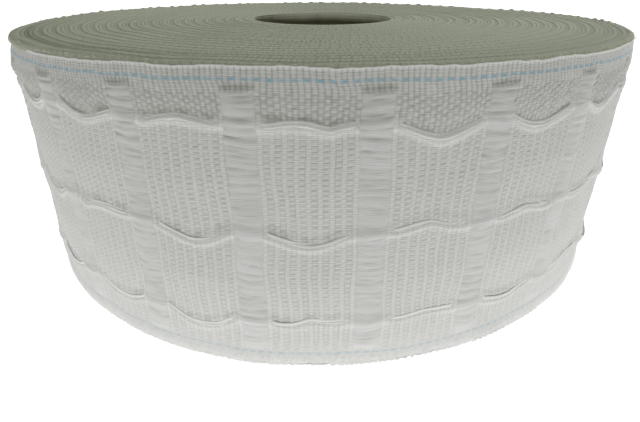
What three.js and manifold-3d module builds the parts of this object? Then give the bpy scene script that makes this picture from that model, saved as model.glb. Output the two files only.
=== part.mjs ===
// A roll of pencil-pleat curtain heading tape, stood on one flat end.
// One woven tape is wound on itself round an open centre. Its outer turn shows upright bands of loose
// floats at an even pitch, and three draw cords that run under the floats and lie on the face between them.
// Millimetres, +Z up, origin at the middle of the bottom end. The front of the roll faces -Y.
// Places on the outer turn are given by "along", the arc from the front at the roll's radius, and height.
import * as THREE from "three";
import { mergeVertices } from "three/addons/utils/BufferGeometryUtils.js";
import Module from "manifold-3d";

// Driving dimensions of the roll
const ROLL_RADIUS = 103;
const HOLE_RADIUS = 26;
const TAPE_WIDTH = 75;
const TAPE_THICKNESS = 1.2;

// The bands of floats across the tape
const FLOAT_PITCH = 27.75;
const FLOAT_WIDTH = 6.6;
const FLOAT_RAMP = 0.6;
const FIRST_FLOAT = -16.6; // along, middle of the band just left of the front

// The tape's cut end lies at the back of the roll, between two bands of floats
const PITCHES_TO_CUT_END = 10.67; // from the first band round the left side to the cut end
const TURN_LENGTH = 2 * Math.PI * ROLL_RADIUS;
const TURN_START = FIRST_FLOAT - PITCHES_TO_CUT_END * FLOAT_PITCH;
const TURN_END = TURN_START + TURN_LENGTH;
const TURN_MIDDLE = (TURN_START + TURN_END) / 2;

// The draw cords
const CORD_DIAMETER = 1.4;
const CORD_SIDES = 6;
const CORD_GAP = 0.3;
const TUNNEL_SIZE = CORD_DIAMETER + 2 * CORD_GAP;
const TUNNEL_LENGTH = FLOAT_WIDTH + 4 * FLOAT_RAMP;
const CORD_OUT = 0.1; // how far a cord's middle lies outside the roll's radius
const TUNNEL_OUT = 0.03; // the same for a tunnel's middle, its floor just above the valley round it

// The wall's relief, from the bottom edge up: how far the ground between the bands and the floats in
// them stand proud of the roll's radius. The ground puffs out between the cords and dips at each.
const RELIEF = [
  { height: 0, ground: -0.6, floats: -0.6 },
  { height: 5.2, ground: -0.2, floats: -0.2 },
  { height: 6.2, ground: -0.3, floats: 0.6 },
  { height: 9.2, ground: -1.0, floats: 0.8 },
  { height: 12.9, ground: -1.0, floats: 1.4 },
  { height: 15.9, ground: -1.0, floats: 1.4 },
  { height: 16.8, ground: -1.0, floats: 1.1 },
  { height: 21, ground: -0.2, floats: 0.7 },
  { height: 26, ground: 0.1, floats: 0.6 },
  { height: 30.5, ground: -0.3, floats: 0.7 },
  { height: 33.6, ground: -1.0, floats: 0.9 },
  { height: 37, ground: -1.0, floats: 1.4 },
  { height: 40, ground: -1.0, floats: 1.4 },
  { height: 41.9, ground: -1.0, floats: 1.0 },
  { height: 46.5, ground: 0.0, floats: 0.7 },
  { height: 52, ground: 0.1, floats: 0.6 },
  { height: 58.6, ground: -1.0, floats: 0.9 },
  { height: 61.9, ground: -1.0, floats: 1.4 },
  { height: 64.9, ground: -1.0, floats: 1.4 },
  { height: 65.8, ground: -1.0, floats: 1.2 },
  { height: 68.6, ground: 0.5, floats: 1.0 },
  { height: 69.6, ground: 0.6, floats: 1.1 },
  { height: 70.4, ground: 0.5, floats: 0.5 },
  { height: TAPE_WIDTH, ground: -0.5, floats: -0.5 },
];

// Shares of a bay's width at which its cord's wave is given
const WAVE_STATIONS = [0.1, 0.3, 0.5, 0.7, 0.9];

// Each cord crosses the floats at one height. In the bays it lies in a slack wave: how far it rises above
// that crossing at each station. Bay 0 is at the front, and the rows repeat round the back.
const CORDS = [
  {
    name: "draw_cord_top",
    crossing: 63.4,
    waves: [
      { bay: -3, rise: [-0.9, -2.4, -3.0, -2.6, -0.9] },
      { bay: -2, rise: [-0.2, -1.9, -2.7, -1.8, -0.4] },
      { bay: -1, rise: [-1.0, 0.2, 0.9, 0.1, -0.4] },
      { bay: 0, rise: [-0.4, 0.4, 0.3, -1.1, 0.1] },
      { bay: 1, rise: [-0.5, -2.3, -3.5, -2.5, -0.9] },
      { bay: 2, rise: [-1.5, -3.0, -3.3, -2.2, -0.9] },
      { bay: 3, rise: [-1.6, -3.2, -2.8, -1.2, -0.3] },
    ],
  },
  {
    name: "draw_cord_middle",
    crossing: 38.5,
    waves: [
      { bay: -3, rise: [-1.8, -3.5, -3.7, -3.0, -1.0] },
      { bay: -2, rise: [-1.5, -0.4, 0.1, 0.0, -0.3] },
      { bay: -1, rise: [-0.9, -2.4, -3.7, -3.1, -0.8] },
      { bay: 0, rise: [-0.6, -2.2, -2.9, -2.0, 0.0] },
      { bay: 1, rise: [0.2, 1.3, 1.9, 0.2, 0.0] },
      { bay: 2, rise: [-0.2, 0.6, 1.3, 0.2, -0.7] },
      { bay: 3, rise: [-0.6, -1.2, -1.0, -0.1, 0.6] },
    ],
  },
  {
    name: "draw_cord_bottom",
    crossing: 14.4,
    waves: [
      { bay: -3, rise: [-2.0, -3.8, -4.1, -3.3, -1.2] },
      { bay: -2, rise: [-0.6, -2.3, -3.2, -3.0, -1.4] },
      { bay: -1, rise: [-1.0, -3.5, -4.0, -3.3, -0.5] },
      { bay: 0, rise: [-0.9, -0.9, 0.7, -0.1, 0.2] },
      { bay: 1, rise: [-0.6, -0.3, 0.6, 0.4, 0.3] },
      { bay: 2, rise: [-0.5, -1.7, -2.2, -1.1, -0.2] },
      { bay: 3, rise: [-0.8, -0.6, 0.6, 0.5, 0.2] },
    ],
  },
];

const TAPE_COLOUR = 0xdfdfda;
const CORD_COLOUR = 0xeeeeea;
const CLOTH_ROUGHNESS = 0.9;

const wasm = await Module();
wasm.setup();

// How far the spiral of the winding has grown at a place on the outer turn, against its middle
function growth(along) {
  return (TAPE_THICKNESS * (along - TURN_MIDDLE)) / TURN_LENGTH;
}

// The point at an arc along the outer turn, a radius and a height
function pointAt(along, radius, height) {
  const angle = along / ROLL_RADIUS;
  return new THREE.Vector3(radius * Math.sin(angle), -radius * Math.cos(angle), height);
}

// The middles of the bands of floats on the outer turn, each with its number counted from the first one
function floatBands() {
  const bands = [];
  const lowest = Math.ceil((TURN_START - FIRST_FLOAT) / FLOAT_PITCH);
  const highest = Math.floor((TURN_END - FIRST_FLOAT) / FLOAT_PITCH);
  for (let number = lowest; number <= highest; number += 1) {
    bands.push({ number, along: FIRST_FLOAT + number * FLOAT_PITCH });
  }
  return bands;
}

// The upright lines of the wall, in order along the turn: floats is 1 on a band and 0 between bands
function wallLines() {
  const half = FLOAT_WIDTH / 2;
  const lines = [{ along: TURN_START, floats: 0 }];
  for (const { along } of floatBands()) {
    lines.push({ along: along - half - FLOAT_RAMP, floats: 0 });
    lines.push({ along: along - half, floats: 1 });
    lines.push({ along: along + half, floats: 1 });
    lines.push({ along: along + half + FLOAT_RAMP, floats: 0 });
    const bayMiddle = along + FLOAT_PITCH / 2;
    if (bayMiddle < TURN_END) lines.push({ along: bayMiddle, floats: 0 });
  }
  lines.push({ along: TURN_END, floats: 0 });
  return lines;
}

// A mesh of points and triangles
function meshOf(points, triangles) {
  const geometry = new THREE.BufferGeometry().setFromPoints(points);
  geometry.setIndex(triangles);
  return geometry;
}

// A manifold solid from a closed three.js geometry
function solidFrom(geometry) {
  geometry.deleteAttribute("normal");
  geometry.deleteAttribute("uv");
  const merged = mergeVertices(geometry);
  return new wasm.Manifold(
    new wasm.Mesh({
      numProp: 3,
      vertProperties: merged.attributes.position.array,
      triVerts: new Uint32Array(merged.index.array),
    }),
  );
}

// A three.js geometry from a manifold solid
function geometryFrom(solid) {
  const mesh = solid.getMesh();
  const geometry = new THREE.BufferGeometry();
  geometry.setAttribute("position", new THREE.BufferAttribute(mesh.vertProperties, 3));
  geometry.setIndex(new THREE.BufferAttribute(mesh.triVerts, 1));
  geometry.computeVertexNormals();
  return geometry;
}

// The wound tape before its tunnels: a spiral ring with a step at each cut end and relief on its wall
function woundTape() {
  const lines = wallLines();
  const count = lines.length;
  const rows = RELIEF.length;
  const points = [];
  const triangles = [];

  for (const row of RELIEF) {
    for (const line of lines) {
      const proud = line.floats ? row.floats : row.ground;
      points.push(pointAt(line.along, ROLL_RADIUS + growth(line.along) + proud, row.height));
    }
  }
  const holeStart = points.length;
  for (const height of [0, TAPE_WIDTH]) {
    for (const line of lines) {
      points.push(pointAt(line.along, HOLE_RADIUS + growth(line.along), height));
    }
  }

  // The wall's quads go all round, the last one being the step at the tape's cut end
  const outer = (row, line) => row * count + (line % count);
  for (let row = 0; row < rows - 1; row += 1) {
    for (let line = 0; line < count; line += 1) {
      const [a, b] = [outer(row, line), outer(row, line + 1)];
      const [c, d] = [outer(row + 1, line + 1), outer(row + 1, line)];
      triangles.push(a, b, c, a, c, d);
    }
  }
  const inner = (level, line) => holeStart + level * count + (line % count);
  for (let line = 0; line < count; line += 1) {
    const [a, b] = [inner(0, line + 1), inner(0, line)];
    const [c, d] = [inner(1, line), inner(1, line + 1)];
    triangles.push(a, b, c, a, c, d);
  }

  // The two flat ends
  for (const [row, level, turn] of [[0, 0, -1], [rows - 1, 1, 1]]) {
    const rim = lines.map((line, i) => outer(row, i));
    const hole = lines.map((line, i) => inner(level, i));
    const flat = (ids) => ids.map((id) => new THREE.Vector2(points[id].x, points[id].y));
    const ids = [...rim, ...hole];
    for (const [a, b, c] of THREE.ShapeUtils.triangulateShape(flat(rim), [flat(hole)])) {
      triangles.push(ids[a], ids[turn > 0 ? b : c], ids[turn > 0 ? c : b]);
    }
  }
  return solidFrom(meshOf(points, triangles));
}

// The tunnel under one band of floats for one cord, as a solid to cut away
function tunnel(along, height) {
  const box = new THREE.BoxGeometry(TUNNEL_LENGTH, TUNNEL_SIZE, TUNNEL_SIZE);
  const place = pointAt(along, ROLL_RADIUS + growth(along) + TUNNEL_OUT, height);
  box.rotateZ(along / ROLL_RADIUS);
  box.translate(place.x, place.y, place.z);
  return solidFrom(box);
}

function tapeRoll() {
  let solid = woundTape();
  for (const cord of CORDS) {
    for (const { along } of floatBands()) solid = solid.subtract(tunnel(along, cord.crossing));
  }
  return geometryFrom(solid);
}

// The row of a cord's wave table for a bay, the rows being used again past the last one
function waveOf(cord, bay) {
  const count = cord.waves.length;
  const row = (bay - cord.waves[0].bay) % count;
  return cord.waves[(row + count) % count];
}

// The heights of a cord along the turn: level under each band of floats, and its bay's wave after it
function cordStops(cord) {
  const bay = FLOAT_PITCH - FLOAT_WIDTH;
  const stops = [{ along: TURN_START + CORD_GAP, height: cord.crossing }];
  for (const { number, along } of floatBands()) {
    const left = along - FLOAT_WIDTH / 2 - FLOAT_RAMP;
    const right = along + FLOAT_WIDTH / 2;
    stops.push({ along: left, height: cord.crossing });
    stops.push({ along: right + FLOAT_RAMP, height: cord.crossing });
    const wave = waveOf(cord, number);
    WAVE_STATIONS.forEach((share, i) => {
      stops.push({ along: right + share * bay, height: cord.crossing + wave.rise[i] });
    });
  }
  return stops.filter((stop) => stop.along < TURN_END);
}

// A draw cord: a tube from under the tape's cut end, once round the roll to that end
function drawCord(cord) {
  const stops = cordStops(cord);
  stops.push({ along: TURN_END, height: cord.crossing });
  const points = [];
  const triangles = [];
  for (const { along, height } of stops) {
    for (let side = 0; side < CORD_SIDES; side += 1) {
      const around = (2 * Math.PI * side) / CORD_SIDES;
      const out = (CORD_DIAMETER / 2) * Math.cos(around);
      const up = (CORD_DIAMETER / 2) * Math.sin(around);
      points.push(pointAt(along, ROLL_RADIUS + growth(along) + CORD_OUT + out, height + up));
    }
  }
  const ring = (stop, side) => stop * CORD_SIDES + (side % CORD_SIDES);
  for (let stop = 0; stop < stops.length - 1; stop += 1) {
    for (let side = 0; side < CORD_SIDES; side += 1) {
      const [a, b] = [ring(stop, side), ring(stop + 1, side)];
      const [c, d] = [ring(stop + 1, side + 1), ring(stop, side + 1)];
      triangles.push(a, b, c, a, c, d);
    }
  }
  const last = stops.length - 1;
  for (let side = 1; side < CORD_SIDES - 1; side += 1) {
    triangles.push(ring(0, 0), ring(0, side), ring(0, side + 1));
    triangles.push(ring(last, 0), ring(last, side + 1), ring(last, side));
  }
  return geometryFrom(solidFrom(meshOf(points, triangles)));
}

// A named piece of cloth or yarn
function piece(name, geometry, color) {
  const material = new THREE.MeshStandardMaterial({ color, roughness: CLOTH_ROUGHNESS, metalness: 0 });
  const mesh = new THREE.Mesh(geometry, material);
  mesh.name = name;
  return mesh;
}

const roll = new THREE.Group();
roll.add(piece("tape_roll", tapeRoll(), TAPE_COLOUR));
for (const cord of CORDS) roll.add(piece(cord.name, drawCord(cord), CORD_COLOUR));

export default roll;
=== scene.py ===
import math

import bpy
import numpy as np
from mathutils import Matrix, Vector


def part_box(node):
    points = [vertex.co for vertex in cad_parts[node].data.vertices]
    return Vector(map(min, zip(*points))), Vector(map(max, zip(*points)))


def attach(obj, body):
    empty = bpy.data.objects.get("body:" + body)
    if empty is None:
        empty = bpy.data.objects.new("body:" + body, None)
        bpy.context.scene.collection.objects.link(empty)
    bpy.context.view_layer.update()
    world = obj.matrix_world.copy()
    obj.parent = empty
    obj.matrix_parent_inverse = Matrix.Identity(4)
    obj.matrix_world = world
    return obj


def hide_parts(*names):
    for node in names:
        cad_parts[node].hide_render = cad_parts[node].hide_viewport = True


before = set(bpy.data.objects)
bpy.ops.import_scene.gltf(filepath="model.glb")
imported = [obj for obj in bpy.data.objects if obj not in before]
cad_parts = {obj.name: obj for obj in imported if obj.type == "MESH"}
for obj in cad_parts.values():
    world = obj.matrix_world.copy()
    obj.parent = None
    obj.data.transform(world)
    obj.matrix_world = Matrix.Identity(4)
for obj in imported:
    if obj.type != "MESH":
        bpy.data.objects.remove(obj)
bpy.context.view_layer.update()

# Lengths are in millimetres and become metres when a mesh is made. "along" is the arc from the roll's
# front at its radius, to the right as seen there. "height" is measured from the bottom end.
MM = 0.001
SEED = 20

# The roll, as in its solids
roll_low, roll_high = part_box("tape_roll")
TAPE_WIDTH = (roll_high.z - roll_low.z) / MM
ROLL_RADIUS = 103.0
HOLE_RADIUS = 26.0
TURNS = 64
THICKNESS = (ROLL_RADIUS - HOLE_RADIUS) / TURNS

# The bands of floats and the bays between them
PITCH = 27.75
FLOAT_WIDTH = 6.6
BAY_WIDTH = PITCH - FLOAT_WIDTH
FIRST_FLOAT = -16.6
FLOATS_LOW = 5.6
FLOATS_HIGH = 70.0

# The outer turn, from its start under the cut end to that cut end
PITCHES_TO_CUT_END = 10.67
TURN_LENGTH = 2 * math.pi * ROLL_RADIUS
TURN_START = FIRST_FLOAT - PITCHES_TO_CUT_END * PITCH
TURN_END = TURN_START + TURN_LENGTH
TURN_MIDDLE = (TURN_START + TURN_END) / 2

# The weave: fine ribs across the tape, each sampled three times, and rows along it
BAY_RIBS = 17
FLOAT_RIBS = 6
RIBS_PER_PITCH = BAY_RIBS + FLOAT_RIBS
SAMPLES_PER_RIB = 3
ROW_PITCH = 1.25
SAMPLES_PER_ROW = 3
BASKET_PITCH = 1.6

# The blue marker lines: height and how strong their colour is
MARKERS = ((4.0, 0.42), (72.45, 0.9))
MARKER_WIDTH = 0.85

# The places in a bay, as shares of its width, for which a cord's slack wave is given, and the bay
# that the first row of them is for
WAVE_STATIONS = (0.1, 0.3, 0.5, 0.7, 0.9)
FIRST_WAVE_BAY = -3

# The draw cords. Each has these values:
# crossing: its height under the floats
# out: its middle, outwards from the roll's radius
# bed: the cloth behind it, inwards from its middle
# backing: how much of the cloth above it rises to meet it
# flat: a strand's depth for its height
# loop: how far it stands out at the right
# shadow: how dark the painted shadow on the cloth above it is
# line, line_at: how dark the painted shade line beside it is, and its place above the cord's middle
# meets, glint: how far out the cloth below meets the cord, and how bright the painted highlight is there
# strand_radii: its upper and its lower strand
# rises: its slack wave in one bay after another, repeated round the back
CORDS = {
    "draw_cord_top": {
        "crossing": 63.4, "out": -0.2, "bed": 0.28, "backing": 0.0, "flat": 1.0, "loop": 0.3,
        "shadow": 0.26, "line": 0.28, "line_at": 0.85, "meets": 0.6, "glint": 0.75,
        "strand_radii": (0.36, 0.58),
        "rises": (
            (-0.9, -2.4, -3.0, -2.6, -0.9),
            (-0.2, -1.9, -2.7, -1.8, -0.4),
            (-1.0, 0.2, 0.9, 0.1, -0.4),
            (-0.4, 0.4, 0.3, -1.1, 0.1),
            (-0.5, -2.3, -3.5, -2.5, -0.9),
            (-1.5, -3.0, -3.3, -2.2, -0.9),
            (-1.6, -3.2, -2.8, -1.2, -0.3),
        ),
    },
    "draw_cord_middle": {
        "crossing": 38.5, "out": -0.05, "bed": 0.18, "backing": 0.7, "flat": 0.45, "loop": 1.0,
        "shadow": 0.26, "line": 0.1, "line_at": 0.75, "meets": 0.5, "glint": 0.4,
        "strand_radii": (0.34, 0.5),
        "rises": (
            (-1.8, -3.5, -3.7, -3.0, -1.0),
            (-1.5, -0.4, 0.1, 0.0, -0.3),
            (-0.9, -2.4, -3.7, -3.1, -0.8),
            (-0.6, -2.2, -2.9, -2.0, 0.0),
            (0.2, 1.3, 1.9, 0.2, 0.0),
            (-0.2, 0.6, 1.3, 0.2, -0.7),
            (-0.6, -1.2, -1.0, -0.1, 0.6),
        ),
    },
    "draw_cord_bottom": {
        "crossing": 14.4, "out": 0.1, "bed": 0.15, "backing": 0.85, "flat": 0.28, "loop": 1.3,
        "shadow": 0.4, "line": 0.6, "line_at": -0.95, "meets": 0.2, "glint": 0.15,
        "strand_radii": (0.5, 0.3),
        "rises": (
            (-2.0, -3.8, -4.1, -3.3, -1.2),
            (-0.6, -2.3, -3.2, -3.0, -1.4),
            (-1.0, -3.5, -4.0, -3.3, -0.5),
            (-0.9, -0.9, 0.7, -0.1, 0.2),
            (-0.6, -0.3, 0.6, 0.4, 0.3),
            (-0.5, -1.7, -2.2, -1.1, -0.2),
            (-0.8, -0.6, 0.6, 0.5, 0.2),
        ),
    },
}

# Where the cords stand out at the right, and how far that runs to each side
LOOP_PLACE = 107
LOOP_RUN = 7

# How far apart a cord's two strands are, how far it sinks where the ground closes over it, and the
# distance between the points of its route
STRAND_APART = 0.36
COVERED_DEPTH = 0.7
CORD_STEP = 0.8

# How far the cloth stands proud of the roll's radius, by height: the ground between the bands, which
# puffs out between the cords, and the floats of a band
GROUND_PROFILE = (
    (0, 0.35), (1.5, 0.3), (4, 0.0), (9, 0.0), (12.5, 0.1), (14.4, -0.1), (16.5, -0.1),
    (20.5, 0.05), (25, 0.2), (30, 0.15), (36, 0.1), (38.5, -0.2), (41, -0.15), (46, 0.1),
    (50, 0.25), (55, 0.2), (61, 0.1), (63.4, -0.4), (65.2, -0.1), (67.5, 0.35), (69.5, 0.45),
    (71.5, 0.3), (73.5, 0.05), (75, -0.15),
)
FLOATS_PROFILE = (
    (0, 0.1), (5.6, 0.3), (6.5, 0.6), (9, 0.75), (12.6, 0.9), (14.4, 1.1), (16.5, 0.85), (21, 0.6),
    (26, 0.55), (31, 0.6), (36.5, 0.85), (38.5, 1.1), (41, 0.85), (46, 0.65), (51, 0.6), (56, 0.65),
    (61, 0.85), (63.4, 1.1), (65.5, 0.9), (68, 0.95), (69.8, 1.05), (75, 0.6),
)

# The outer turn is not quite level or round: how far its top edge has slipped below the other turns,
# and how far its lower part leans out, by place along it
SLIP = (
    (-320, 0.4), (-200, 0.6), (-110, 1.4), (-80, 1.45), (-60, 1.2), (-40, 0.7), (-20, 0.2), (0, 0.25),
    (20, 0.35), (40, 0.45), (60, 0.7), (80, 0.85), (110, 0.8), (200, 0.6), (335, 0.4),
)
LEAN = (
    (-320, 0.0), (-110, -0.1), (-60, 0.05), (-40, 0.5), (-20, 0.55), (0, 0.45), (20, -0.1), (40, -0.6),
    (60, -1.0), (80, -0.8), (120, -0.7), (200, 0.0), (335, 0.0),
)
SLIP_MOST = max(drop for _, drop in SLIP)

# At the left the turn below stands out: how far, where, and how far that runs to each side
OVERHANG = 1.0
OVERHANG_PLACE = -108
OVERHANG_RUN = 34

# The top end: the spacing of its soft rings, and the angle and radius of its shallow groove
CRESCENT_SPACING = 3.6
GROOVE_DEGREES = (-80, -40, -20)
GROOVE_RADII = (98.5, 97.5, 93.0)

# How strong the painted shade on the cloth above the top cord is, by place
SHADED = (
    (-320, 1.0), (0, 1.0), (22, 0.2), (62, 0.2), (90, 1.0), (100, 0.35), (125, 0.35), (160, 1.0),
    (335, 1.0),
)

# After so many ribs, rows and bays their chance differences repeat
GRAIN_RIBS = 97
GRAIN_ROWS = 61
CHANCE_BAYS = 40
COVERED_BAYS = 29

# The loose fibres: how many, the points of each and its radius at the root
FIBRES = 520
FIBRE_POINTS = 6
FIBRE_RADIUS = 0.045

# The floor: its colour, its radius and how far it lies under the roll, in metres
FLOOR_COLOUR = (0.35, 0.35, 0.35)
FLOOR_RADIUS = 9
FLOOR_GAP = 0.0002

# The floor's glow: its strength, the radius under the roll where there is none, how far in front of
# the axis it is full and where it ends, in metres, and the share that is left beyond
FLOOR_GLOW = 1.08
GLOW_CLEAR = 0.09
GLOW_FULL = 0.15
GLOW_END = 0.19
GLOW_FAR = 0.10

# The room's soft light from all round
ROOM_COLOUR = (0.95, 0.97, 0.91)
ROOM_STRENGTH = 0.38

# The camera at the photograph's place: close in front, a little above the top end, looking down
CAMERA_PLACE = (0, -196.3, 91.0)
CAMERA_PITCH = 26.53
LENS = 27.08
SENSOR_WIDTH = 36
FRAME_SHIFT = -2 / 640

rng = np.random.default_rng(SEED)

# How far the ground closes over each cord at the left and the right end of a bay
COVERED_ENDS = {name: rng.uniform(0.4, 2.2, (2, COVERED_BAYS)) for name in CORDS}


def growth(along):
    """How far the spiral has grown at a place on the outer turn, against its middle."""
    return THICKNESS * (along - TURN_MIDDLE) / TURN_LENGTH


def ramp(low, high, value):
    """0 up to low and 1 from high on, with a smooth step between."""
    share = np.clip((value - low) / (high - low), 0, 1)
    return share * share * (3 - 2 * share)


def ridge(distance, width):
    """A soft ridge of height 1 where distance is 0."""
    return np.exp(-((distance / width) ** 2))


def ripple(values, shortest, longest, count=8):
    """A smooth random wave along values, of about unit size."""
    total = np.zeros_like(values, dtype=float)
    for _ in range(count):
        length = rng.uniform(shortest, longest)
        total += np.sin(2 * math.pi * (values / length + rng.random()))
    return total / math.sqrt(count)


def ripple_plane(first, second, shortest, longest, count=12):
    """A smooth random field over two coordinates, of about unit size."""
    total = np.zeros(np.broadcast(first, second).shape)
    for _ in range(count):
        turn = rng.uniform(0, 2 * math.pi)
        length = rng.uniform(shortest, longest)
        across = (first * math.cos(turn) + second * math.sin(turn)) / length
        total += np.sin(2 * math.pi * (across + rng.random()))
    return total / math.sqrt(count)


def soft_profile(table, height):
    """A table of height and value as a smooth curve."""
    fine = np.arange(-6, TAPE_WIDTH + 6, 0.1)
    line = by_place(table, fine)
    kernel = ridge(np.arange(-2.5, 2.55, 0.1), 0.8)
    line = np.convolve(line, kernel / kernel.sum(), mode="same")
    return np.interp(height, fine, line)


def weave_place(along):
    """For each place along the tape: the band or bay number, the place past the band's right edge,
    and the count of fine ribs from that edge."""
    past = along - FIRST_FLOAT - FLOAT_WIDTH / 2
    number = np.floor(past / PITCH).astype(int)
    past = past - number * PITCH
    in_bay = past < BAY_WIDTH
    rib = np.where(
        in_bay,
        past * BAY_RIBS / BAY_WIDTH,
        BAY_RIBS + (past - BAY_WIDTH) * FLOAT_RIBS / FLOAT_WIDTH,
    )
    return number, past, rib


def float_share(along):
    """1 on a band of floats and 0 in the bays, with a short ramp at each edge."""
    past = weave_place(along)[1]
    from_middle = np.abs((past - BAY_WIDTH - FLOAT_WIDTH / 2 + PITCH / 2) % PITCH - PITCH / 2)
    return 1 - ramp(FLOAT_WIDTH / 2 - 0.25, FLOAT_WIDTH / 2 + 0.45, from_middle)


def band_numbers(extra=0):
    """The numbers of the bands on the outer turn, and of some extra ones past each end."""
    first = math.ceil((TURN_START - FIRST_FLOAT) / PITCH)
    last = math.floor((TURN_END - FIRST_FLOAT) / PITCH)
    return range(first - extra, last + extra + 1)


def cord_height(cord, along):
    """The height of a draw cord at each place along the outer turn."""
    stops = []
    for number in band_numbers(2):
        middle = FIRST_FLOAT + number * PITCH
        right = middle + FLOAT_WIDTH / 2
        stops.append((middle - FLOAT_WIDTH / 2, 0))
        stops.append((right, 0))
        rises = cord["rises"][(number - FIRST_WAVE_BAY) % len(cord["rises"])]
        for share, rise in zip(WAVE_STATIONS, rises):
            stops.append((right + share * BAY_WIDTH, rise))
    places, rises = np.array(stops).T
    fine = np.arange(places[0], places[-1], 0.25)
    kernel = ridge(np.arange(-3, 3.1, 0.25), 1.3)
    line = np.convolve(np.interp(fine, places, rises), kernel / kernel.sum(), mode="same")
    return cord["crossing"] + np.interp(along, fine, line)


def by_place(table, along):
    """The value at each place, from a table of places and values."""
    places, values = np.array(table, float).T
    return np.interp(along, places, values)


def slip(along, height):
    """How far a point of the outer turn sits below its place on a level tape."""
    return by_place(SLIP, along) * ramp(64, 71, height)


def lean(along, height):
    """How far a point of the outer turn leans out."""
    return by_place(LEAN, along) * (1 - 0.7 * ramp(12, 50, height))


def sag(x, y):
    """How far the top face sinks towards the back, most on the right."""
    return 0.15 * ramp(30, 100, y) + 0.6 * ramp(10, 80, x) * ramp(-10, 60, y)


def cord_cover(name, along):
    """1 where the ground closes over a draw cord at both ends of a bay, and 0 where the cord shows."""
    bay, past, _ = weave_place(along)
    left, right = COVERED_ENDS[name][:, bay % COVERED_BAYS]
    from_left = ramp(left - 1.1, left + 1.1, past)
    from_right = ramp(right - 1.1, right + 1.1, BAY_WIDTH - past)
    return 1 - from_left * from_right


def around(along, radius, height):
    """Points in metres from the arc along the roll, a radius and a height."""
    angle = along / ROLL_RADIUS
    return np.stack([radius * np.sin(angle), -radius * np.cos(angle), height + 0 * angle], -1) * MM


def grid_piece(name, points, tape, materials, worn=None, flip=False, marks=None):
    """A mesh from a grid of points. tape holds each point's place in the weave, for the materials."""
    rows, cols = points.shape[:2]
    index = np.arange(rows * cols).reshape(rows, cols)
    corners = [index[:-1, :-1], index[:-1, 1:], index[1:, 1:], index[1:, :-1]]
    if flip:
        corners.reverse()
    faces = np.stack(corners, -1).reshape(-1, 4)
    spread = np.stack(np.meshgrid(np.linspace(0, 1, cols), np.linspace(0, 1, rows)), -1)
    tape = tape.reshape(-1, 2)
    spread = spread.reshape(-1, 2)
    return mesh_piece(name, points.reshape(-1, 3), faces, tape, spread, materials, worn, marks)


def add_object(name, data):
    """A new object in the scene."""
    item = bpy.data.objects.new(name, data)
    bpy.context.scene.collection.objects.link(item)
    return item


def mesh_piece(name, points, faces, tape, spread, materials, worn=None, marks=None):
    """A smooth mesh object of quads, with the weave's coordinates and an even map over the piece."""
    mesh = bpy.data.meshes.new(name)
    mesh.vertices.add(len(points))
    mesh.vertices.foreach_set("co", points.astype(np.float32).ravel())
    mesh.loops.add(faces.size)
    mesh.loops.foreach_set("vertex_index", faces.astype(np.int32).ravel())
    mesh.polygons.add(len(faces))
    mesh.polygons.foreach_set("loop_start", np.arange(0, faces.size, 4, dtype=np.int32))
    mesh.polygons.foreach_set("use_smooth", np.ones(len(faces), bool))
    if worn is not None:
        mesh.polygons.foreach_set("material_index", worn.astype(np.int32).ravel())
    for layer, values in (("OFBake", spread), ("tape", tape)):
        uv = mesh.uv_layers.new(name=layer)
        uv.data.foreach_set("uv", values[faces.ravel()].astype(np.float32).ravel())
    if marks is not None:
        recess = mesh.attributes.new("recess", "FLOAT", "POINT")
        recess.data.foreach_set("value", marks.astype(np.float32).ravel())
    for material in materials:
        mesh.materials.append(material)
    mesh.validate()
    mesh.update(calc_edges=True)
    return add_object(name, mesh)


# Materials


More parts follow.
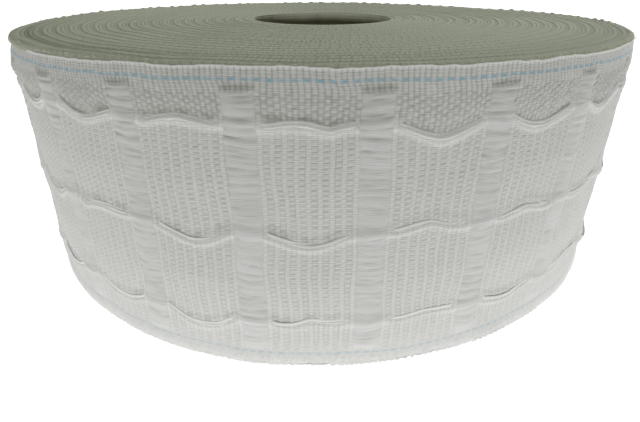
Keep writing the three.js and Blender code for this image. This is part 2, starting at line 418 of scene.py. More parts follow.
class Nodes:
    """Short calls for the nodes of one material."""

    def __init__(self, name, colour, roughness, sheen=0.0):
        self.material = bpy.data.materials.new(name)
        self.material.use_nodes = True
        self.tree = self.material.node_tree
        self.shader = self.tree.nodes["Principled BSDF"]
        self.shader.inputs["Base Color"].default_value = (*colour, 1)
        self.shader.inputs["Roughness"].default_value = roughness
        self.shader.inputs["Specular IOR Level"].default_value = 0.3
        self.shader.inputs["Sheen Weight"].default_value = sheen
        self.shader.inputs["Sheen Roughness"].default_value = 0.6

    def add(self, kind):
        return self.tree.nodes.new(kind)

    def link(self, value, socket):
        """Sets a number or a colour, or links another node's output."""
        if isinstance(value, (int, float)):
            socket.default_value = value
        elif isinstance(value, tuple):
            socket.default_value = (*value, 1)
        else:
            self.tree.links.new(value, socket)

    def math(self, operation, *values):
        node = self.add("ShaderNodeMath")
        node.operation = operation
        for value, socket in zip(values, node.inputs):
            self.link(value, socket)
        return node.outputs[0]

    def times(self, first, second):
        return self.math("MULTIPLY", first, second)

    def scaled(self, value, factor, plus):
        return self.math("MULTIPLY_ADD", value, factor, plus)

    def clamp(self, value, low=0.0, high=1.0):
        return self.math("MINIMUM", self.math("MAXIMUM", value, low), high)

    def split(self, vector):
        """The first two parts of a vector."""
        parts = self.add("ShaderNodeSeparateXYZ")
        self.link(vector, parts.inputs[0])
        return parts.outputs[0], parts.outputs[1]

    def tape(self):
        """The rib count and the height of a place in the weave."""
        uv = self.add("ShaderNodeUVMap")
        uv.uv_map = "tape"
        return self.split(uv.outputs[0])

    def attribute(self, name):
        node = self.add("ShaderNodeAttribute")
        node.attribute_name = name
        return node.outputs["Fac"]

    def speckle(self, vector, scale, detail):
        node = self.add("ShaderNodeTexNoise")
        node.inputs["Scale"].default_value = scale
        node.inputs["Detail"].default_value = detail
        self.link(vector, node.inputs["Vector"])
        return node.outputs["Fac"]

    def noise(self, scale, detail=3.0, stretch=(1, 1, 1)):
        """A noise laid out in space."""
        place = self.add("ShaderNodeTexCoord")
        mapping = self.add("ShaderNodeMapping")
        mapping.inputs["Scale"].default_value = stretch
        self.link(place.outputs["Object"], mapping.inputs["Vector"])
        return self.speckle(mapping.outputs[0], scale, detail)

    def tape_noise(self, rib, height, per_rib, per_mm):
        """A noise laid out along the weave's own directions."""
        place = self.add("ShaderNodeCombineXYZ")
        self.link(self.times(rib, per_rib), place.inputs[0])
        self.link(self.times(height, per_mm), place.inputs[1])
        return self.speckle(place.outputs[0], 1.0, 2.0)

    def wave(self, value, per_unit, shift=0.0):
        """A sine from 0 to 1 that repeats so many times for each unit of value."""
        angle = self.scaled(value, 2 * math.pi * per_unit, 2 * math.pi * shift)
        return self.scaled(self.math("SINE", angle), 0.5, 0.5)

    def mix(self, share, first, second):
        node = self.add("ShaderNodeMix")
        node.data_type = "RGBA"
        self.link(share, node.inputs["Factor"])
        self.link(first, node.inputs[6])
        self.link(second, node.inputs[7])
        return node.outputs[2]

    def colour(self, value):
        self.link(value, self.shader.inputs["Base Color"])

    def bump(self, height, distance, strength):
        node = self.add("ShaderNodeBump")
        node.inputs["Strength"].default_value = strength
        node.inputs["Distance"].default_value = distance
        self.link(height, node.inputs["Height"])
        self.link(node.outputs[0], self.shader.inputs["Normal"])


WHITE = (0.78, 0.78, 0.77)
WHITE_SHADE = (0.71, 0.705, 0.69)
# A painted highlight white, for lit crests, the cloth just below the cords and the selvedges' bright
# lines
PAINTED_HIGHLIGHT = (0.93, 0.93, 0.92)
CORD_COLOUR = (0.80, 0.80, 0.785)
FLOATS_COLOUR = (0.73, 0.73, 0.725)
FLOATS_SHADE = (0.66, 0.655, 0.64)
# The dark painted shade colour for pits, gaps, creases and the shade beside the cords
PAINTED_SHADE_COLOUR = (0.36, 0.36, 0.32)
MARKER_COLOUR = (0.27, 0.46, 0.57)
# The wound turns' edges: a darker, greener copy of the white tape as painted shade for the light that
# sinks in between the turns, and a darker painted shade for the gaps
EDGE_COLOUR = (0.61, 0.64, 0.52)
EDGE_SHADE = (0.51, 0.535, 0.43)
EDGE_GAP_SHADE = (0.28, 0.30, 0.22)
# The back of the tape in the hole: painted light near the top, fading to dark painted shade deeper down
REVERSE_LIT_TOP = (0.86, 0.88, 0.70)
REVERSE_SHADED_DEEP = (0.11, 0.108, 0.065)


def ground_material():
    """The woven ground, with its pale blue marker lines, and the painted shade and painted highlights of
    its marks.
    """
    nodes = Nodes("woven_ground", WHITE, 0.85, sheen=0.15)
    rib, height = nodes.tape()
    colour = nodes.mix(nodes.noise(900), WHITE_SHADE, WHITE)

    # Painted shade in the pits, in the gaps between ribs and in fine ticks across them
    recess = nodes.attribute("recess")
    uneven = nodes.tape_noise(rib, height, 0.6, 0.9)
    dark = nodes.times(nodes.math("MAXIMUM", recess, 0.0), nodes.scaled(uneven, 1.6, 0.2))
    gap = nodes.math("POWER", nodes.wave(rib, 1.0, 0.25), 5.0)
    streaks = nodes.tape_noise(rib, height, 0.9, 0.12)
    gap = nodes.times(gap, nodes.scaled(streaks, 0.6, -0.1))
    above_edge = nodes.scaled(height, 0.25, -1.25)
    gap = nodes.times(gap, nodes.clamp(above_edge, 0.1))
    tick = nodes.math("POWER", nodes.wave(nodes.scaled(uneven, 0.5, height), 1 / 0.64), 3.0)
    tick = nodes.times(tick, nodes.times(uneven, 0.42))
    dark = nodes.math("MINIMUM", nodes.math("ADD", nodes.math("ADD", dark, gap), tick), 1.0)
    colour = nodes.mix(dark, colour, PAINTED_SHADE_COLOUR)
    # Negative marks are painted highlights: lit crests, the cloth just below the cords and the
    # selvedges' bright lines
    colour = nodes.mix(nodes.math("MAXIMUM", nodes.times(recess, -1.0), 0.0), colour, PAINTED_HIGHLIGHT)

    # The marker lines show as a dash on each rib
    dash = nodes.math("SINE", nodes.times(rib, math.pi))
    dash = nodes.math("MAXIMUM", nodes.scaled(dash, 1.2, 0.1), 0.3)
    between = nodes.times(nodes.math("POWER", nodes.wave(rib, 1.0, 0.25), 3.0), 0.8)
    dash = nodes.math("MAXIMUM", dash, between)
    for level, strength in MARKERS:
        away = nodes.math("ABSOLUTE", nodes.math("SUBTRACT", height, level))
        band = nodes.math("SUBTRACT", 1.0, nodes.math("DIVIDE", away, MARKER_WIDTH / 2))
        band = nodes.times(nodes.math("MAXIMUM", band, 0.0), 2.0)
        share = nodes.times(nodes.math("MINIMUM", band, 1.0), nodes.math("MINIMUM", dash, 1.0))
        share = nodes.times(share, nodes.scaled(uneven, 1.2, 0.3))
        share = nodes.clamp(nodes.times(share, strength))
        colour = nodes.mix(share, colour, MARKER_COLOUR)
    nodes.colour(colour)

    ticks = nodes.wave(height, 1 / 0.42)
    fibres = nodes.noise(4000)
    nodes.bump(nodes.scaled(fibres, 0.7, ticks), 0.00006, 0.8)
    return nodes.material


def floats_material():
    """The loose floats: smooth yarns side by side, running along the tape."""
    nodes = Nodes("floats", FLOATS_COLOUR, 0.75, sheen=0.15)
    _, height = nodes.tape()
    streaks = nodes.noise(900, stretch=(0.15, 0.15, 3.0))
    colour = nodes.mix(streaks, FLOATS_SHADE, FLOATS_COLOUR)
    # The recess marks are painted shade in the creases, above the cord crossings and near the bands'
    # tops
    nodes.colour(nodes.mix(nodes.math("MAXIMUM", nodes.attribute("recess"), 0.0), colour, PAINTED_SHADE_COLOUR))
    yarns = nodes.wave(nodes.scaled(streaks, 0.35, height), 1 / 0.36)
    nodes.bump(nodes.scaled(streaks, 1.5, yarns), 0.00005, 0.9)
    return nodes.material


def cord_material():
    """The twisted yarn of the draw cords."""
    nodes = Nodes("cord_yarn", CORD_COLOUR, 0.85, sheen=0.1)
    turn, _ = nodes.tape()
    fibres = nodes.noise(2500)
    nodes.colour(nodes.mix(fibres, WHITE_SHADE, CORD_COLOUR))
    nodes.bump(nodes.scaled(fibres, 0.8, nodes.wave(turn, 1.0)), 0.00005, 0.6)
    return nodes.material


def edge_material():
    """The edges of the wound turns, with painted shade for the light that sinks in between them."""
    nodes = Nodes("turn_edges", EDGE_COLOUR, 0.95, sheen=0.05)
    rib, _ = nodes.tape()
    blotches = nodes.noise(260, 4.0)
    colour = nodes.mix(blotches, EDGE_SHADE, EDGE_COLOUR)
    # Painted shade in the dots between the loops and, from the recess marks, at the turns' junctions, in
    # the groove and rings and near the front rim
    dots = nodes.times(nodes.math("POWER", nodes.wave(rib, 0.5), 2.0), nodes.noise(1500, 2.0))
    colour = nodes.mix(nodes.times(dots, 0.6), colour, EDGE_GAP_SHADE)
    colour = nodes.mix(nodes.attribute("recess"), colour, EDGE_GAP_SHADE)
    nodes.colour(colour)
    loops = nodes.wave(rib, 1.0)
    nodes.bump(nodes.scaled(nodes.noise(3000), 1.2, loops), 0.0002, 0.9)
    return nodes.material


def reverse_material():
    """The back of the tape, seen inside the centre hole, with painted shade that deepens down the hole.
    """
    nodes = Nodes("tape_reverse", REVERSE_SHADED_DEEP, 0.95)
    _, height = nodes.tape()
    # Painted shade that deepens below the top end, with the recess marks added
    depth = nodes.math("DIVIDE", nodes.math("SUBTRACT", TAPE_WIDTH - 0.4, height), 3.4)
    depth = nodes.scaled(nodes.noise(260), 0.25, depth)
    depth = nodes.math("ADD", depth, nodes.attribute("recess"))
    depth = nodes.clamp(depth)
    nodes.colour(nodes.mix(depth, REVERSE_LIT_TOP, REVERSE_SHADED_DEEP))
    nodes.bump(nodes.math("ADD", nodes.wave(height, 1 / ROW_PITCH), nodes.noise(3000)), 0.0001, 0.8)
    return nodes.material


def fibre_material():
    """The thin yarn that has come loose."""
    nodes = Nodes("loose_fibre", CORD_COLOUR, 0.7, sheen=0.3)
    nodes.colour(nodes.mix(nodes.noise(500), WHITE_SHADE, CORD_COLOUR))
    return nodes.material


GROUND = ground_material()
FLOATS = floats_material()
CORD_YARN = cord_material()
EDGES = edge_material()
REVERSE = reverse_material()
FIBRE = fibre_material()


# The outer turn


def lines_along():
    """The wall's upright grid lines: three for each fine rib of the weave, clipped to the turn."""
    bay = np.arange(BAY_RIBS * SAMPLES_PER_RIB) * BAY_WIDTH / (BAY_RIBS * SAMPLES_PER_RIB)
    band = np.arange(FLOAT_RIBS * SAMPLES_PER_RIB) * FLOAT_WIDTH / (FLOAT_RIBS * SAMPLES_PER_RIB)
    cell = np.concatenate([bay, BAY_WIDTH + band])
    starts = FIRST_FLOAT + FLOAT_WIDTH / 2 + PITCH * np.array(band_numbers(2))
    lines = (starts[:, None] + cell[None, :]).ravel()
    inside = lines[(lines > TURN_START + 0.1) & (lines < TURN_END - 0.1)]
    return np.concatenate([[TURN_START], inside, [TURN_END]])


def lines_up():
    """The wall's level grid lines: close together at the selvedges, three for each row of the weave
    between the borders."""
    border_low = np.array([0, 0.25, 0.55, 0.9, 1.3, 1.9, 2.6, 3.3, 4.0, 4.7, 5.2])
    step = ROW_PITCH / SAMPLES_PER_ROW
    middle = np.arange(FLOATS_LOW, FLOATS_HIGH + 0.5, step)
    border_high = np.array([70.9, 71.4, 71.9, 72.4, 72.9, 73.4, 73.8, 74.15, 74.45, 74.7, 74.9, 75])
    return np.concatenate([border_low, middle, border_high])


def warped_height(along, height):
    """The height at which the ground's profile is read: its valleys follow the cords' waves."""
    warped = height.copy()
    for cord in CORDS.values():
        rise = cord_height(cord, along) - cord["crossing"]
        near = 1 - ramp(2.5, 10.0, np.abs(height - cord["crossing"] - rise))
        warped = warped - rise * near
    return warped


def low_sides(along, height):
    """1 low down on both flanks, where the weave shows least, and 0 in front."""
    return ramp(40, 75, np.abs(along)) * (1 - ramp(35, 55, height))


def grain(rib_number, row):
    """A chance value from 0 to 1 for each rib and row of the weave."""
    table = rng.uniform(0, 1, (GRAIN_RIBS, GRAIN_ROWS))
    return table[rib_number % GRAIN_RIBS, np.round(row).astype(int) % GRAIN_ROWS]


def ladder_weave(rib_number, height, crown, recess):
    """The weave below the top cord, of raised ribs and of sunk ones with rungs: its relief, the painted
    shade in its pits and the painted highlight on its crests."""
    row = (height - FLOATS_LOW) / ROW_PITCH
    on_row = np.clip(np.cos(2 * math.pi * row), 0, 1)
    between = np.clip(-np.cos(2 * math.pi * row), 0, 1)
    crest = crown * (1 - recess)
    relief = 0.17 * crest * (1 - 0.65 * between) + recess * (0.14 * crown - 0.17 * on_row) - 0.04
    chance = grain(rib_number, row)
    pits = (0.2 + 0.28 * chance) * recess * on_row + (0.1 + 0.3 * chance) * crest * between
    return relief, pits + 0.05 * recess, (0.1 + 0.3 * chance) * crest**2 * on_row


def basket_weave(rib_number, odd, height, upper, crown):
    """The weave above the top cord, of staggered knots: its relief and the painted shade in its pits."""
    crossing = CORDS["draw_cord_top"]["crossing"]
    follow = crossing + 0.25 * (upper - crossing)
    step = (height - follow) / BASKET_PITCH + 0.5 * odd
    stagger = 0.5 + 0.5 * np.cos(2 * math.pi * step)
    relief = crown * (0.06 + (0.24 + 0.28 * grain(rib_number, step)) * stagger) - 0.15
    return relief, 0.42 * (1 - stagger) ** 2 * crown


def weave_relief(along, height):
    """The relief of the weave in the bays and borders, the painted shade in its pits and gaps and over
    its upper parts, and the painted highlight on the crests of its raised ribs."""
    number, past, rib = weave_place(along)
    whole_ribs = np.floor(rib).astype(int)
    rib_number = number * RIBS_PER_PITCH + whole_ribs
    crown = (0.5 - 0.5 * np.cos(2 * math.pi * (rib - whole_ribs))) ** 0.7
    recess = ramp(0.25, 0.85, 0.5 - 0.5 * np.cos(math.pi * (rib - 0.5)))
    upper = cord_height(CORDS["draw_cord_top"], along)
    ladder, ladder_pits, bright = ladder_weave(rib_number, height, crown, recess)
    basket, basket_pits = basket_weave(rib_number, whole_ribs % 2 == 1, height, upper, crown)

    in_bay = past < BAY_WIDTH
    above = ramp(0.5, 1.5, height - upper)
    border = ramp(FLOATS_HIGH - 0.4, FLOATS_HIGH + 0.4, height)
    border = np.maximum(border, 1 - ramp(FLOATS_LOW - 0.8, FLOATS_LOW - 0.2, height))
    sides = low_sides(along, height)
    relief = ladder * (1 - above) + basket * above
    relief = np.where(in_bay, relief, 0.14 * crown)
    relief = relief * (1 - border) + (0.18 * crown - 0.08) * border
    relief = relief * (0.3 + 0.7 * ramp(2, 6, height)) * (1 - 0.35 * sides)

    upper_border = border * (height > FLOATS_HIGH - 1)
    # Painted shade over the basket above the top cord and the upper border, a little at the bottom and
    # on the low flanks, by place
    painted_shade = 0.19 * np.maximum(above, upper_border) + 0.1 * (1 - ramp(8, 14, height))
    below = (1 - above) * (1 - border)
    above = above * (1 - border)
    pits = (ladder_pits * below + basket_pits * above) * in_bay
    pits = pits + 0.2 * (1 - crown) * below * (1 - in_bay)
    pits = pits * (1 - 0.35 * sides)
    painted_shade = painted_shade * (0.4 + 0.6 * by_place(SHADED, along)) + 0.05 * sides
    # Painted shade in the gaps between the ribs
    gaps = (1 - crown) * (0.24 * above + 0.26 * border)
    gaps = gaps * (0.1 + 0.9 * ramp(5, 9, height))
    return relief, np.clip(pits + painted_shade + gaps, 0, 1), bright * below * in_bay


def float_creases(along, height):
    """The irregular creases across the bands of floats, and the painted shade in them."""
    total = np.zeros(np.broadcast(along, height).shape)
    shade = np.zeros_like(total)
    for number in band_numbers():
        middle = FIRST_FLOAT + number * PITCH
        columns = np.flatnonzero(np.abs(along[0] - middle) < FLOAT_WIDTH / 2 + 0.5)
        sideways = along[:, columns] - middle
        levels = height[:, columns]
        for level in np.arange(FLOATS_LOW + 1.0, FLOATS_HIGH - 0.6, ROW_PITCH):
            near_top = ramp(50, 62, level)
            depth = (rng.uniform(0.08, 0.25) + 0.12 * near_top) * (rng.random() < 0.9)
            tilt = rng.normal(0, 0.06)
            bow = rng.normal(0, 0.012)
            fade_from = rng.uniform(-6, 6)
            wide = rng.uniform(0.2, 0.36)
            centre = level + rng.normal(0, 0.3)
            if depth == 0:
                continue
            line = ridge(levels - centre - tilt * sideways - bow * sideways**2, wide)
            line = line * (0.75 + 0.25 * np.cos(sideways - fade_from))
            total[:, columns] -= depth * line
            shade[:, columns] += 1.35 * depth * line
    calm = 1 - 0.5 * low_sides(along, height)
    return total * calm, shade * calm


def floats_relief(along, height):
    """How far the bands of floats stand proud of the roll's radius, and the painted shade on them."""
    bay, past, _ = weave_place(along)
    from_middle = past - BAY_WIDTH - FLOAT_WIDTH / 2
    crown = np.clip(1 - (2 * from_middle / FLOAT_WIDTH) ** 2, 0, 1)
    creases, shade = float_creases(along, height)
    floats = soft_profile(FLOATS_PROFILE, height) - 0.45 + 0.5 * crown + creases
    floats = floats + 0.10 * ripple_plane(along, height, 6, 16)
    for cord in CORDS.values():
        tilt = rng.normal(0, 0.06, CHANCE_BAYS)[bay % CHANCE_BAYS]
        shift = rng.normal(0, 0.25, CHANCE_BAYS)[bay % CHANCE_BAYS]
        over = height - cord["crossing"] - shift - tilt * from_middle
        floats = floats + 0.2 * ridge(over + 0.3, 1.2) - 0.12 * ridge(over - 1.2, 0.4)
        shade = shade + 0.08 * ridge(over - 1.3, 0.4)
    return floats, shade + 0.22 * ramp(63, 70, height)


def ground_at_cord(cord, along, over, cover, ground):
    """The ground with a channel for one draw cord and cloth that rises to meet it, by the height over
    the cord's middle and how far the ground closes over it."""
    channel = ridge(over - 0.1, 0.6) * (1 - cover)
    ground = ground + (cord["out"] - cord["bed"] - ground) * channel
    backing = cord["backing"] * (1 - cover) * ridge(over - 1.4, 0.9)
    ground = ground + (cord["out"] + 0.1 - ground) * backing
    below = 0.9 * ridge(over + 1.15, 0.7)
    ground = ground + (cord["out"] + cord["meets"] - ground) * below
    ground = ground + (0.05 + 0.4 * cover) * ridge(over, 1.2)
    return ground + cord["loop"] * ridge(along - LOOP_PLACE, LOOP_RUN) * ridge(over, 1.5)


def pits_at_cord(cord, over, cover, shade, pits):
    """The painted shadow above one draw cord and the painted shade line beside it, with fewer marks just
    below it.
    """
    pits = pits * (1 - 0.7 * ridge(over + 1.4, 1.5))
    pits = pits + cord["shadow"] * (1 - cover) * shade * ridge(over - 1.2, 0.9)
    return pits + cord["line"] * (1 - cover) * ridge(over - cord["line_at"], 0.28)


def wall_relief(along, height):
    """How far the outer turn stands proud of the roll's radius, its marks of painted shade and painted
    highlight with some random fuzz, and the share of floats."""
    puff = soft_profile(GROUND_PROFILE, warped_height(along, height))
    bay = weave_place(along)[0]
    fullness = rng.uniform(0.6, 1.35, CHANCE_BAYS)[bay % CHANCE_BAYS]
    ground = np.where(puff > 0, puff * fullness, puff)
    ground = ground + 0.12 * ripple_plane(along, height, 14, 45)
    relief, pits, glint = weave_relief(along, height)
    ground = ground + relief
    shade = (1 + 0.5 * ripple(along[0], 5, 14)) * by_place(SHADED, along)
    for name, cord in CORDS.items():
        over = height - cord_height(cord, along)
        cover = cord_cover(name, along)
        ground = ground_at_cord(cord, along, over, cover, ground)
        pits = pits_at_cord(cord, over, cover, shade, pits)
        # Painted highlight on the cloth just below each cord
        glint = glint + cord["glint"] * ridge(over + 0.9, 0.48)
    # The painted shade fades towards the bottom, where the light from below is strongest
    pits = pits * (0.45 + 0.55 * ramp(5, 50, height))

    # The floats cover the ground from near one border to the other
    floats, creases = floats_relief(along, height)
    ends = rng.uniform(-0.3, 0.3, (2, CHANCE_BAYS))[:, bay % CHANCE_BAYS]
    covered = ramp(FLOATS_LOW - 0.45, FLOATS_LOW + 0.35, height + ends[0])
    covered = covered * (1 - ramp(FLOATS_HIGH - 0.1, FLOATS_HIGH + 0.5, height + ends[1]))
    share = float_share(along) * covered
    proud = ground * (1 - share) + floats * share
    lip = 0.12 * ridge(height - (TAPE_WIDTH - 0.2), 0.3) + 0.22 * ridge(height - 0.5, 0.45)

    # Painted shade marks are positive and painted highlight marks negative
    marks = np.clip(pits - 0.3 * glint, 0, 1) * (1 - share) + creases * share
    past_band = float_share(along) * (1 - covered)
    # Painted shadow just above the top of each band
    marks = marks + 0.4 * past_band * ridge(height - FLOATS_HIGH - 0.9, 0.6)
    # Painted highlights: a bright line along the upper selvedge and light along the bottom edge, with
    # those below the cords
    marks = np.clip(marks, 0, 1) - 1.1 * ridge(height - TAPE_WIDTH, 0.32)
    marks = marks - 0.8 * ridge(height - 0.6, 1.2) - glint * (1 - share)
    fuzz = rng.normal(0, 1, height.shape) * (1 - ramp(2.0, 4.5, height))
    fuzz = fuzz * (0.5 + 0.5 * ridge(along - 15, 70))
    return proud + lip + 0.05 * fuzz, np.clip(marks + 0.14 * fuzz, -1, 1), share


def even_ribs(along, height):
    """The shift that brings the ribs of bays and bands to one even pitch in the borders."""
    _, past, rib = weave_place(along)
    border = ramp(70.3, 72.5, height) + 1 - ramp(3.5, 5.5, height)
    return (rib * PITCH / RIBS_PER_PITCH - past) * border


def uneven_turn(along, height, proud):
    """The radius and height of each point of the outer turn, with its slips, frays and wavy edges."""
    lines = along[0]
    rib = weave_place(lines)[2]
    at_back = ramp(100, 240, np.abs(lines))
    rim = 0.14 * ripple(lines, 12, 40) + (0.05 + 0.3 * at_back) * ripple(lines, 3.5, 7)
    rim = rim + (0.03 + 0.12 * at_back) * np.cos(math.pi * rib)
    worn_edge = 1 - ramp(0, 1.1, height)
    in_front = ridge(lines - 15, 55)
    fray = worn_edge * (0.12 + 0.36 * in_front) * np.abs(ripple(lines, 1.2, 4.0))
    inside = ramp(0, 6, height) * (1 - ramp(TAPE_WIDTH - 6, TAPE_WIDTH, height))
    droop = 0.22 * inside * ripple_plane(along, height, 8, 30)
    angle = along / ROLL_RADIUS
    sunk = sag(ROLL_RADIUS * np.sin(angle), -ROLL_RADIUS * np.cos(angle)) * ramp(66, 74, height)
    drawn_in = 0.3 * ramp(71, 74.5, height) - 0.5 * ridge(height - 68, 5)
    drawn_in = drawn_in * ridge(along - OVERHANG_PLACE, OVERHANG_RUN)
    radius = ROLL_RADIUS + growth(along) + lean(along, height) - drawn_in + proud
    radius = radius + (0.06 + 0.1 * in_front) * worn_edge * ripple(lines, 0.9, 2.6)
    level = height + rim * ramp(TAPE_WIDTH - 4, TAPE_WIDTH, height) + fray + droop
    return radius, level - slip(along, height) - sunk


def outer_turn():
    """The wall of the outer turn as pieces side by side, with both selvedges and the cut end."""
    lines = lines_along()
    along, height = np.meshgrid(lines, lines_up())
    proud, marks, share = wall_relief(along, height)
    radius, level = uneven_turn(along, height, proud)
    sway = 0.22 * ripple_plane(along, height, 10, 35) + 0.04 * ripple_plane(along, height, 2.5, 7)
    sway = sway + even_ribs(along, height)

    # The sway fades out near both ends of the turn
    sway = sway * (1 - ramp(300, 308, np.abs(along)))

    # Two rows fold in under the lower selvedge and four over the upper one, down the tape's inner face
    low, high = radius[:1], radius[-1:]
    radius = np.concatenate(
        [low - 1.15, low - 0.6, radius, high - 0.12, high - 0.4, high - 0.8, high - 1.15]
    )
    low, high = level[:1], level[-1:]
    level = np.concatenate([low + 1.5, low + 0.1, level, high + 0.02, high, high - 0.05, high - 1.2])
    pad = ((2, 4), (0, 0))
    grids = (along, height, sway, marks)
    along, height, sway, marks = (np.pad(grid, pad, mode="edge") for grid in grids)
    share = np.pad(share, pad)
    number, _, rib = weave_place(along)
    rib = number * RIBS_PER_PITCH + rib
    points = around(along + sway, radius, level)
    tape = np.stack([rib, height], -1)

    # The cut end is one more line of points, a tape's thickness further in
    end = around(along[:, -1:], radius[:, -1:] - THICKNESS, level[:, -1:])
    points = np.concatenate([points, end], 1)
    grids = (tape, marks, share)
    tape, marks, share = (np.concatenate([grid, grid[:, -1:]], 1) for grid in grids)

    # Pieces meet at the left edge of a band, where a fold hides the join
    edges = FIRST_FLOAT - FLOAT_WIDTH / 2 + PITCH * np.array([-5, 1, 7])
    cuts = [0] + [int(np.argmin(np.abs(lines - edge))) for edge in edges] + [points.shape[1] - 1]
    materials = [GROUND, FLOATS, EDGES]
    made = []
    for number, (start, stop) in enumerate(zip(cuts[:-1], cuts[1:]), 1):
        part = slice(start, stop + 1)
        worn = ((share[:-1, start:stop] + share[1:, start + 1:stop + 1]) / 2 > 0.5).astype(int)

        # The upper fold looks like the edges of the other turns
        worn[-3:] = materials.index(EDGES)
        name = f"outer_turn_{number}"
        piece = grid_piece(name, points[:, part], tape[:, part], materials, worn, marks=marks[:, part])
        made.append(piece)
    return made


# The wound turns, seen at both ends and inside the centre hole


def turn_spiral(step):
    """Places along the wound tape inside the outer turn: the tape's own length, the angle and the
    radius of its middle."""
    grow = THICKNESS / (2 * math.pi)
    outer_angle = TURN_START / ROLL_RADIUS
    radius_at_start = ROLL_RADIUS + growth(TURN_START) - THICKNESS / 2
    at_front = radius_at_start - grow * outer_angle
    turned = 2 * math.pi * (TURNS - 1)
    inner_angle = outer_angle - turned

    def length(angle):
        return at_front * angle + grow * angle**2 / 2

    places = np.arange(length(inner_angle), length(outer_angle), step)
    angle = (-at_front + np.sqrt(at_front**2 + 2 * grow * places)) / grow
    return places, angle, at_front + grow * angle


def wound_end(name, step, top):
    """The selvedges of the wound turns at one end of the roll: a rounded strip for each turn."""
    places, angle, radius = turn_spiral(step)
    bands = float_share(places)
    x = radius * np.sin(angle)
    y = -radius * np.cos(angle)
    level = 0.02 * ripple(places, 4, 9) + 0.12 * ripple_plane(x, y, 22, 70)
    crescent = np.cos(2 * math.pi * radius / CRESCENT_SPACING + 0.7 * ripple(angle, 3, 9))
    behind_rim = ridge(radius - ROLL_RADIUS + 2.5, 2.5)
    level += 0.09 * crescent - 0.01 * bands - 0.1 * behind_rim
    degrees = np.degrees(np.arctan2(x, -y))
    groove = ridge(radius - np.interp(degrees, GROOVE_DEGREES, GROOVE_RADII), 1.4)
    groove = groove * ramp(-85, -60, degrees) * (1 - ramp(-24, -8, degrees))
    if top:
        level -= 0.2 * groove
        level -= sag(x, y)

    # The rounded strip: how far each line of points lies across a turn, its drop and how dark its
    # painted shade is
    across = np.array([-0.7, -0.54, 0.0, 0.54, 0.7]) * THICKNESS
    drop = np.array([0.6, 0.02, 0.0, 0.02, 0.6])[:, None]
    drop = drop * (0.05 + 0.95 * ramp(HOLE_RADIUS + 0.9, HOLE_RADIUS + 2.2, radius))
    shade = np.array([0.05, 0.04, 0.0, 0.04, 0.05])
    radii = radius[None, :] + across[:, None] + 0.03 * ripple(places, 4, 12)
    deep = np.clip(level - drop, -2.0, 0.4)
    height = TAPE_WIDTH - 0.05 + deep if top else 0.45 - deep
    points = np.stack([radii * np.sin(angle), -radii * np.cos(angle), height], -1) * MM
    rib = np.broadcast_to(places * RIBS_PER_PITCH / PITCH, radii.shape)
    tape = np.stack([rib, np.broadcast_to(across[:, None], radii.shape)], -1)
    # Painted shade at the junctions between turns, near the front rim, in the groove and along the
    # rings; a little darker at the bands
    in_front = ramp(80, 98, radius) * (1 - ramp(-40, 30, y))
    marks = shade[:, None] + 0.03 * bands + 0.24 * in_front + 0.35 * groove + 0.07 * (1 - crescent)
    marks = np.clip(marks, 0, 1)
    return grid_piece(name, points, tape, [EDGES], flip=not top, marks=marks)


def turn_below():
    """The upper edge of the turn under the outer one, which shows where the outer turn has slipped."""
    lines = np.linspace(TURN_START, TURN_END - 0.5, 900)
    slipped = by_place(SLIP, lines) / SLIP_MOST
    angle = lines / ROLL_RADIUS

    # The rolled edge: how far out and how far up each line of points lies
    outwards = np.array([-1.1, -1.0, -0.6, -0.2, 0.2, 0.45, 0.55, 0.3, -0.2])
    upwards = np.array([-1.0, -0.1, 0.0, 0.0, -0.2, -0.7, -1.3, -2.0, -3.0])
    radius = ROLL_RADIUS - THICKNESS + growth(lines) + outwards[:, None] * (0.35 + 0.9 * slipped)
    pushed = ramp(-0.6, 0.3, outwards)[:, None] * ridge(lines - OVERHANG_PLACE, OVERHANG_RUN)
    radius = radius + OVERHANG * pushed + 0.06 * ripple(lines, 3, 9)
    edge = TAPE_WIDTH - 0.05 - sag(ROLL_RADIUS * np.sin(angle), -ROLL_RADIUS * np.cos(angle))
    edge = edge + 0.06 * ripple(lines, 2, 5) + 0.12 * ripple(lines, 18, 60)
    edge = edge + 0.26 * ramp(100, 200, np.abs(lines)) * ripple(lines, 4, 7)
    height = edge + upwards[:, None]
    points = around(lines + 0 * radius, radius, height)
    rib = lines * RIBS_PER_PITCH / PITCH
    tape = np.stack([rib + 0 * radius, upwards[:, None] + 0 * radius], -1)
    # Painted shade, darker further down the rolled edge
    marks = np.clip(0.25 - 0.1 * upwards[:, None] + 0 * radius, 0, 0.45)
    return grid_piece("turn_below", points, tape, [EDGES], flip=True, marks=marks)


def centre_hole():
    """The inner face of the first turn."""
    lines = np.linspace(TURN_START, TURN_END, 241)
    levels = np.linspace(0.4, TAPE_WIDTH - 0.05, 61)
    along, height = np.meshgrid(lines, levels)
    radius = HOLE_RADIUS + growth(along) + 0.1 * ripple_plane(along, height, 20, 60)
    points = around(along, radius, height)
    tape = np.stack([along / 1.2, height], -1)
    # Painted shade on the hole's left side
    marks = 0.6 * ridge(points[..., 0] / MM + HOLE_RADIUS, 9)
    return grid_piece("centre_hole", points, tape, [REVERSE], flip=True, marks=marks)


# The draw cords


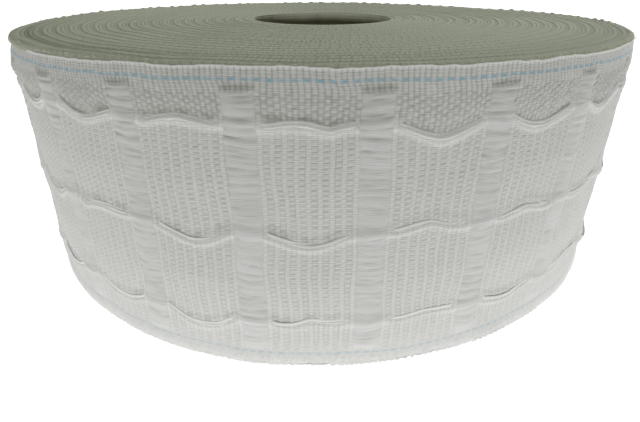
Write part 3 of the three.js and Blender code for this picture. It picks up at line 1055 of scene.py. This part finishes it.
def draw_cord(name):
    """A draw cord of two strands twisted together, once round the roll."""
    cord = CORDS[name]
    places = np.arange(TURN_START + 0.3, TURN_END, CORD_STEP)
    height = cord_height(cord, places)
    radius = ROLL_RADIUS + growth(places) + lean(places, height) + cord["out"]
    radius = radius - COVERED_DEPTH * cord_cover(name, places)
    radius = radius + cord["loop"] * ridge(places - LOOP_PLACE, LOOP_RUN)
    phase = 0.35 + 0.5 * ripple(places, 18, 60)
    sides = 8
    around_strand = np.linspace(0, 2 * math.pi, sides + 1)[:, None]
    sunk = 0.4 * ramp(-0.4, 0.9, ripple(places, 12, 34))
    strands = []
    thinner = np.argmin(cord["strand_radii"])
    for number, size in enumerate(cord["strand_radii"]):
        half = number * math.pi
        depth = sunk if number == thinner else 0
        out = radius + STRAND_APART * np.sin(phase + half) * 0.55 - depth
        up = height + STRAND_APART * np.cos(phase + half)
        thick = size * (1 + 0.12 * ripple(places, 1.8, 9))
        radii = out + cord["flat"] * thick * np.cos(around_strand)
        heights = up + thick * np.sin(around_strand)
        points = around(places[None, :] + 0 * radii, radii, heights)
        tape = np.stack([places / 1.1 + around_strand / math.pi, heights], -1)
        strands.append(grid_piece(f"{name}_strand", points, tape, [CORD_YARN], flip=True))
    return join(strands, f"{name}_strands")


def join(objects, name):
    """Joins objects into the first one, under a new name."""
    bpy.ops.object.select_all(action="DESELECT")
    for one in objects:
        one.select_set(True)
    bpy.context.view_layer.objects.active = objects[0]
    bpy.ops.object.join()
    objects[0].name = name
    return objects[0]


def fibre_paths():
    """The points of the loose fibres: their place along the turn, radius and height. They start at the
    lower selvedge, the upper one or a cord."""
    start = rng.uniform(TURN_START, TURN_END, FIBRES)
    where = rng.choice([0, 1, 2], FIBRES, p=[0.62, 0.2, 0.18])
    crossings = [cord["crossing"] for cord in reversed(CORDS.values())]
    heights = [
        rng.uniform(0.2, 0.8, FIBRES),
        rng.uniform(74.2, 74.9, FIBRES),
        rng.choice(crossings, FIBRES),
    ]
    reaches = [
        rng.uniform(0.5, 1.5, FIBRES),
        rng.uniform(0.4, 1.4, FIBRES),
        rng.uniform(0.7, 2.6, FIBRES),
    ]
    run = rng.normal(0, 0.9, FIBRES)
    lifts = [
        rng.uniform(-0.5, 0.4, FIBRES),
        rng.uniform(-0.2, 0.7, FIBRES),
        rng.normal(0, 0.8, FIBRES),
    ]
    curl = rng.uniform(-1.2, 1.2, FIBRES)
    share = np.linspace(0, 1, FIBRE_POINTS)[:, None]
    along = start + run * share + curl * np.sin(math.pi * share) * 0.5
    radius = ROLL_RADIUS + growth(start) - 0.3 + np.choose(where, reaches) * np.sin(share * 2.4) * 0.9
    height = np.maximum(np.choose(where, heights) + np.choose(where, lifts) * share, 0.1)
    return along, radius, height


def loose_fibres():
    """Short three-sided fibres that stand off the selvedges and the cords."""
    along, radius, height = (grid.T[..., None] for grid in fibre_paths())
    steps = np.arange(FIBRE_POINTS)
    turns = np.arange(3) * 2 * math.pi / 3
    thick = FIBRE_RADIUS * (1 - 0.6 * steps / steps[-1])[:, None]
    points = around(along, radius + thick * np.cos(turns), height + thick * np.sin(turns))
    index = np.arange(FIBRES * FIBRE_POINTS * 3).reshape(FIBRES, FIBRE_POINTS, 3)
    beside = np.roll(index, -1, axis=2)
    faces = np.stack([index[:, :-1], beside[:, :-1], beside[:, 1:], index[:, 1:]], -1).reshape(-1, 4)
    tape = np.stack(np.meshgrid(steps, turns, indexing="ij"), -1).reshape(-1, 2)
    tape = np.tile(tape, (FIBRES, 1))
    return mesh_piece("loose_fibres", points.reshape(-1, 3), faces, tape, tape / 7, [FIBRE])


turn_pieces = outer_turn()
end_step = PITCH / 18
windings = [
    wound_end("wound_turns_top", end_step, True),
    wound_end("wound_turns_bottom", 2 * end_step, False),
]
below = turn_below()
hole = centre_hole()
cord_pieces = {name: draw_cord(name) for name in CORDS}
fibres = loose_fibres()

for piece in [*turn_pieces, *windings, below, hole]:
    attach(piece, "root")
    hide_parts("tape_roll")
for name, piece in cord_pieces.items():
    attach(piece, "root")
    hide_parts(name)
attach(fibres, "root")


# The stage: a bright pale floor that lights the wall from below, and soft light from above


def floor_material():
    """A pale floor that looks even, and whose light is cut back where it runs on to the front."""
    nodes = Nodes("floor", FLOOR_COLOUR, 0.9)
    place = nodes.add("ShaderNodeTexCoord")
    x, y = nodes.split(place.outputs["Object"])
    out = nodes.math("SQRT", nodes.math("ADD", nodes.times(x, x), nodes.times(y, y)))
    clear = nodes.math("GREATER_THAN", out, GLOW_CLEAR)
    front = nodes.math("DIVIDE", nodes.math("ADD", y, GLOW_END), GLOW_END - GLOW_FULL)
    front = nodes.clamp(front, GLOW_FAR)
    seen = nodes.add("ShaderNodeLightPath").outputs["Is Camera Ray"]
    front = nodes.math("MAXIMUM", front, seen)
    strength = nodes.times(nodes.times(clear, front), FLOOR_GLOW)
    nodes.shader.inputs["Emission Color"].default_value = (1, 1, 1, 1)
    nodes.link(strength, nodes.shader.inputs["Emission Strength"])
    return nodes.material


def floor():
    bpy.ops.mesh.primitive_circle_add(
        vertices=96, radius=FLOOR_RADIUS, fill_type="NGON", location=(0, 0, -FLOOR_GAP)
    )
    plane = bpy.context.object
    plane.name = "floor"
    plane.data.materials.append(floor_material())


def area_light(name, place, target, size, power):
    data = bpy.data.lights.new(name, "AREA")
    data.shape = "RECTANGLE"
    data.size, data.size_y = size
    data.energy = power
    light = add_object(name, data)
    light.location = place
    aim = np.array(target) - np.array(place)
    light.rotation_euler = (
        math.atan2(math.hypot(aim[0], aim[1]), -aim[2]),
        0,
        math.atan2(aim[1], aim[0]) - math.pi / 2,
    )


floor()
area_light("right_back", (0.45, 0.3, 0.4), (0, 0, 0.07), (0.3, 0.3), 1.5)
area_light("front", (0, -0.9, 0.1), (0, 0, 0.04), (1.4, 0.3), 1.9)

world = bpy.data.worlds.new("room")
world.use_nodes = True
background = world.node_tree.nodes["Background"]
background.inputs["Color"].default_value = (*ROOM_COLOUR, 1)
background.inputs["Strength"].default_value = ROOM_STRENGTH
bpy.context.scene.world = world
bpy.context.scene.view_settings.view_transform = "Standard"

camera_data = bpy.data.cameras.new("camera")
camera_data.lens = LENS
camera_data.sensor_width = SENSOR_WIDTH
camera_data.shift_x = FRAME_SHIFT
camera_data.clip_start = 0.01
camera = add_object("camera", camera_data)
camera.location = [value * MM for value in CAMERA_PLACE]
camera.rotation_euler = (math.radians(90 - CAMERA_PITCH), 0, 0)
bpy.context.scene.camera = camera
